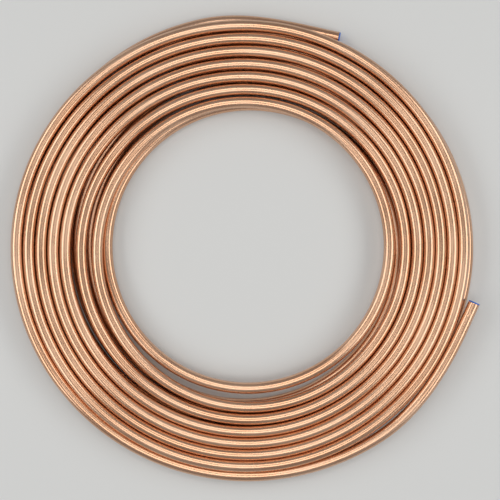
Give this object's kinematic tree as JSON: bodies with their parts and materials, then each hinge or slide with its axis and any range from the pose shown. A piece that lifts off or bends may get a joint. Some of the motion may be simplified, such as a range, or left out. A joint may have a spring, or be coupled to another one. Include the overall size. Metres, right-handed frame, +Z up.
{
  "type": "copper tube coil",
  "caption": "Soft bright-drawn copper tube wound as a flat two-layer coil around an open eye, with a push-in plastic plug closing each end.",
  "frame": {"origin": "centre of the coil's eye, at the height of the surface it lies on", "axes": "+Z up through the eye; +X towards the side where the upper layer is one turn narrower; the upper end points towards +Y on the +X side"},
  "size_m": [0.3856, 0.3841, 0.0191],
  "materials": {
    "copper": "bright drawn copper",
    "plug_plastic": "moulded blue polyethylene, slightly glossy"
  },
  "bodies": {
    "root": {"copper_tube": "copper", "end_plug_upper": "plug_plastic", "end_plug_lower": "plug_plastic"}
  },
  "joints": []
}
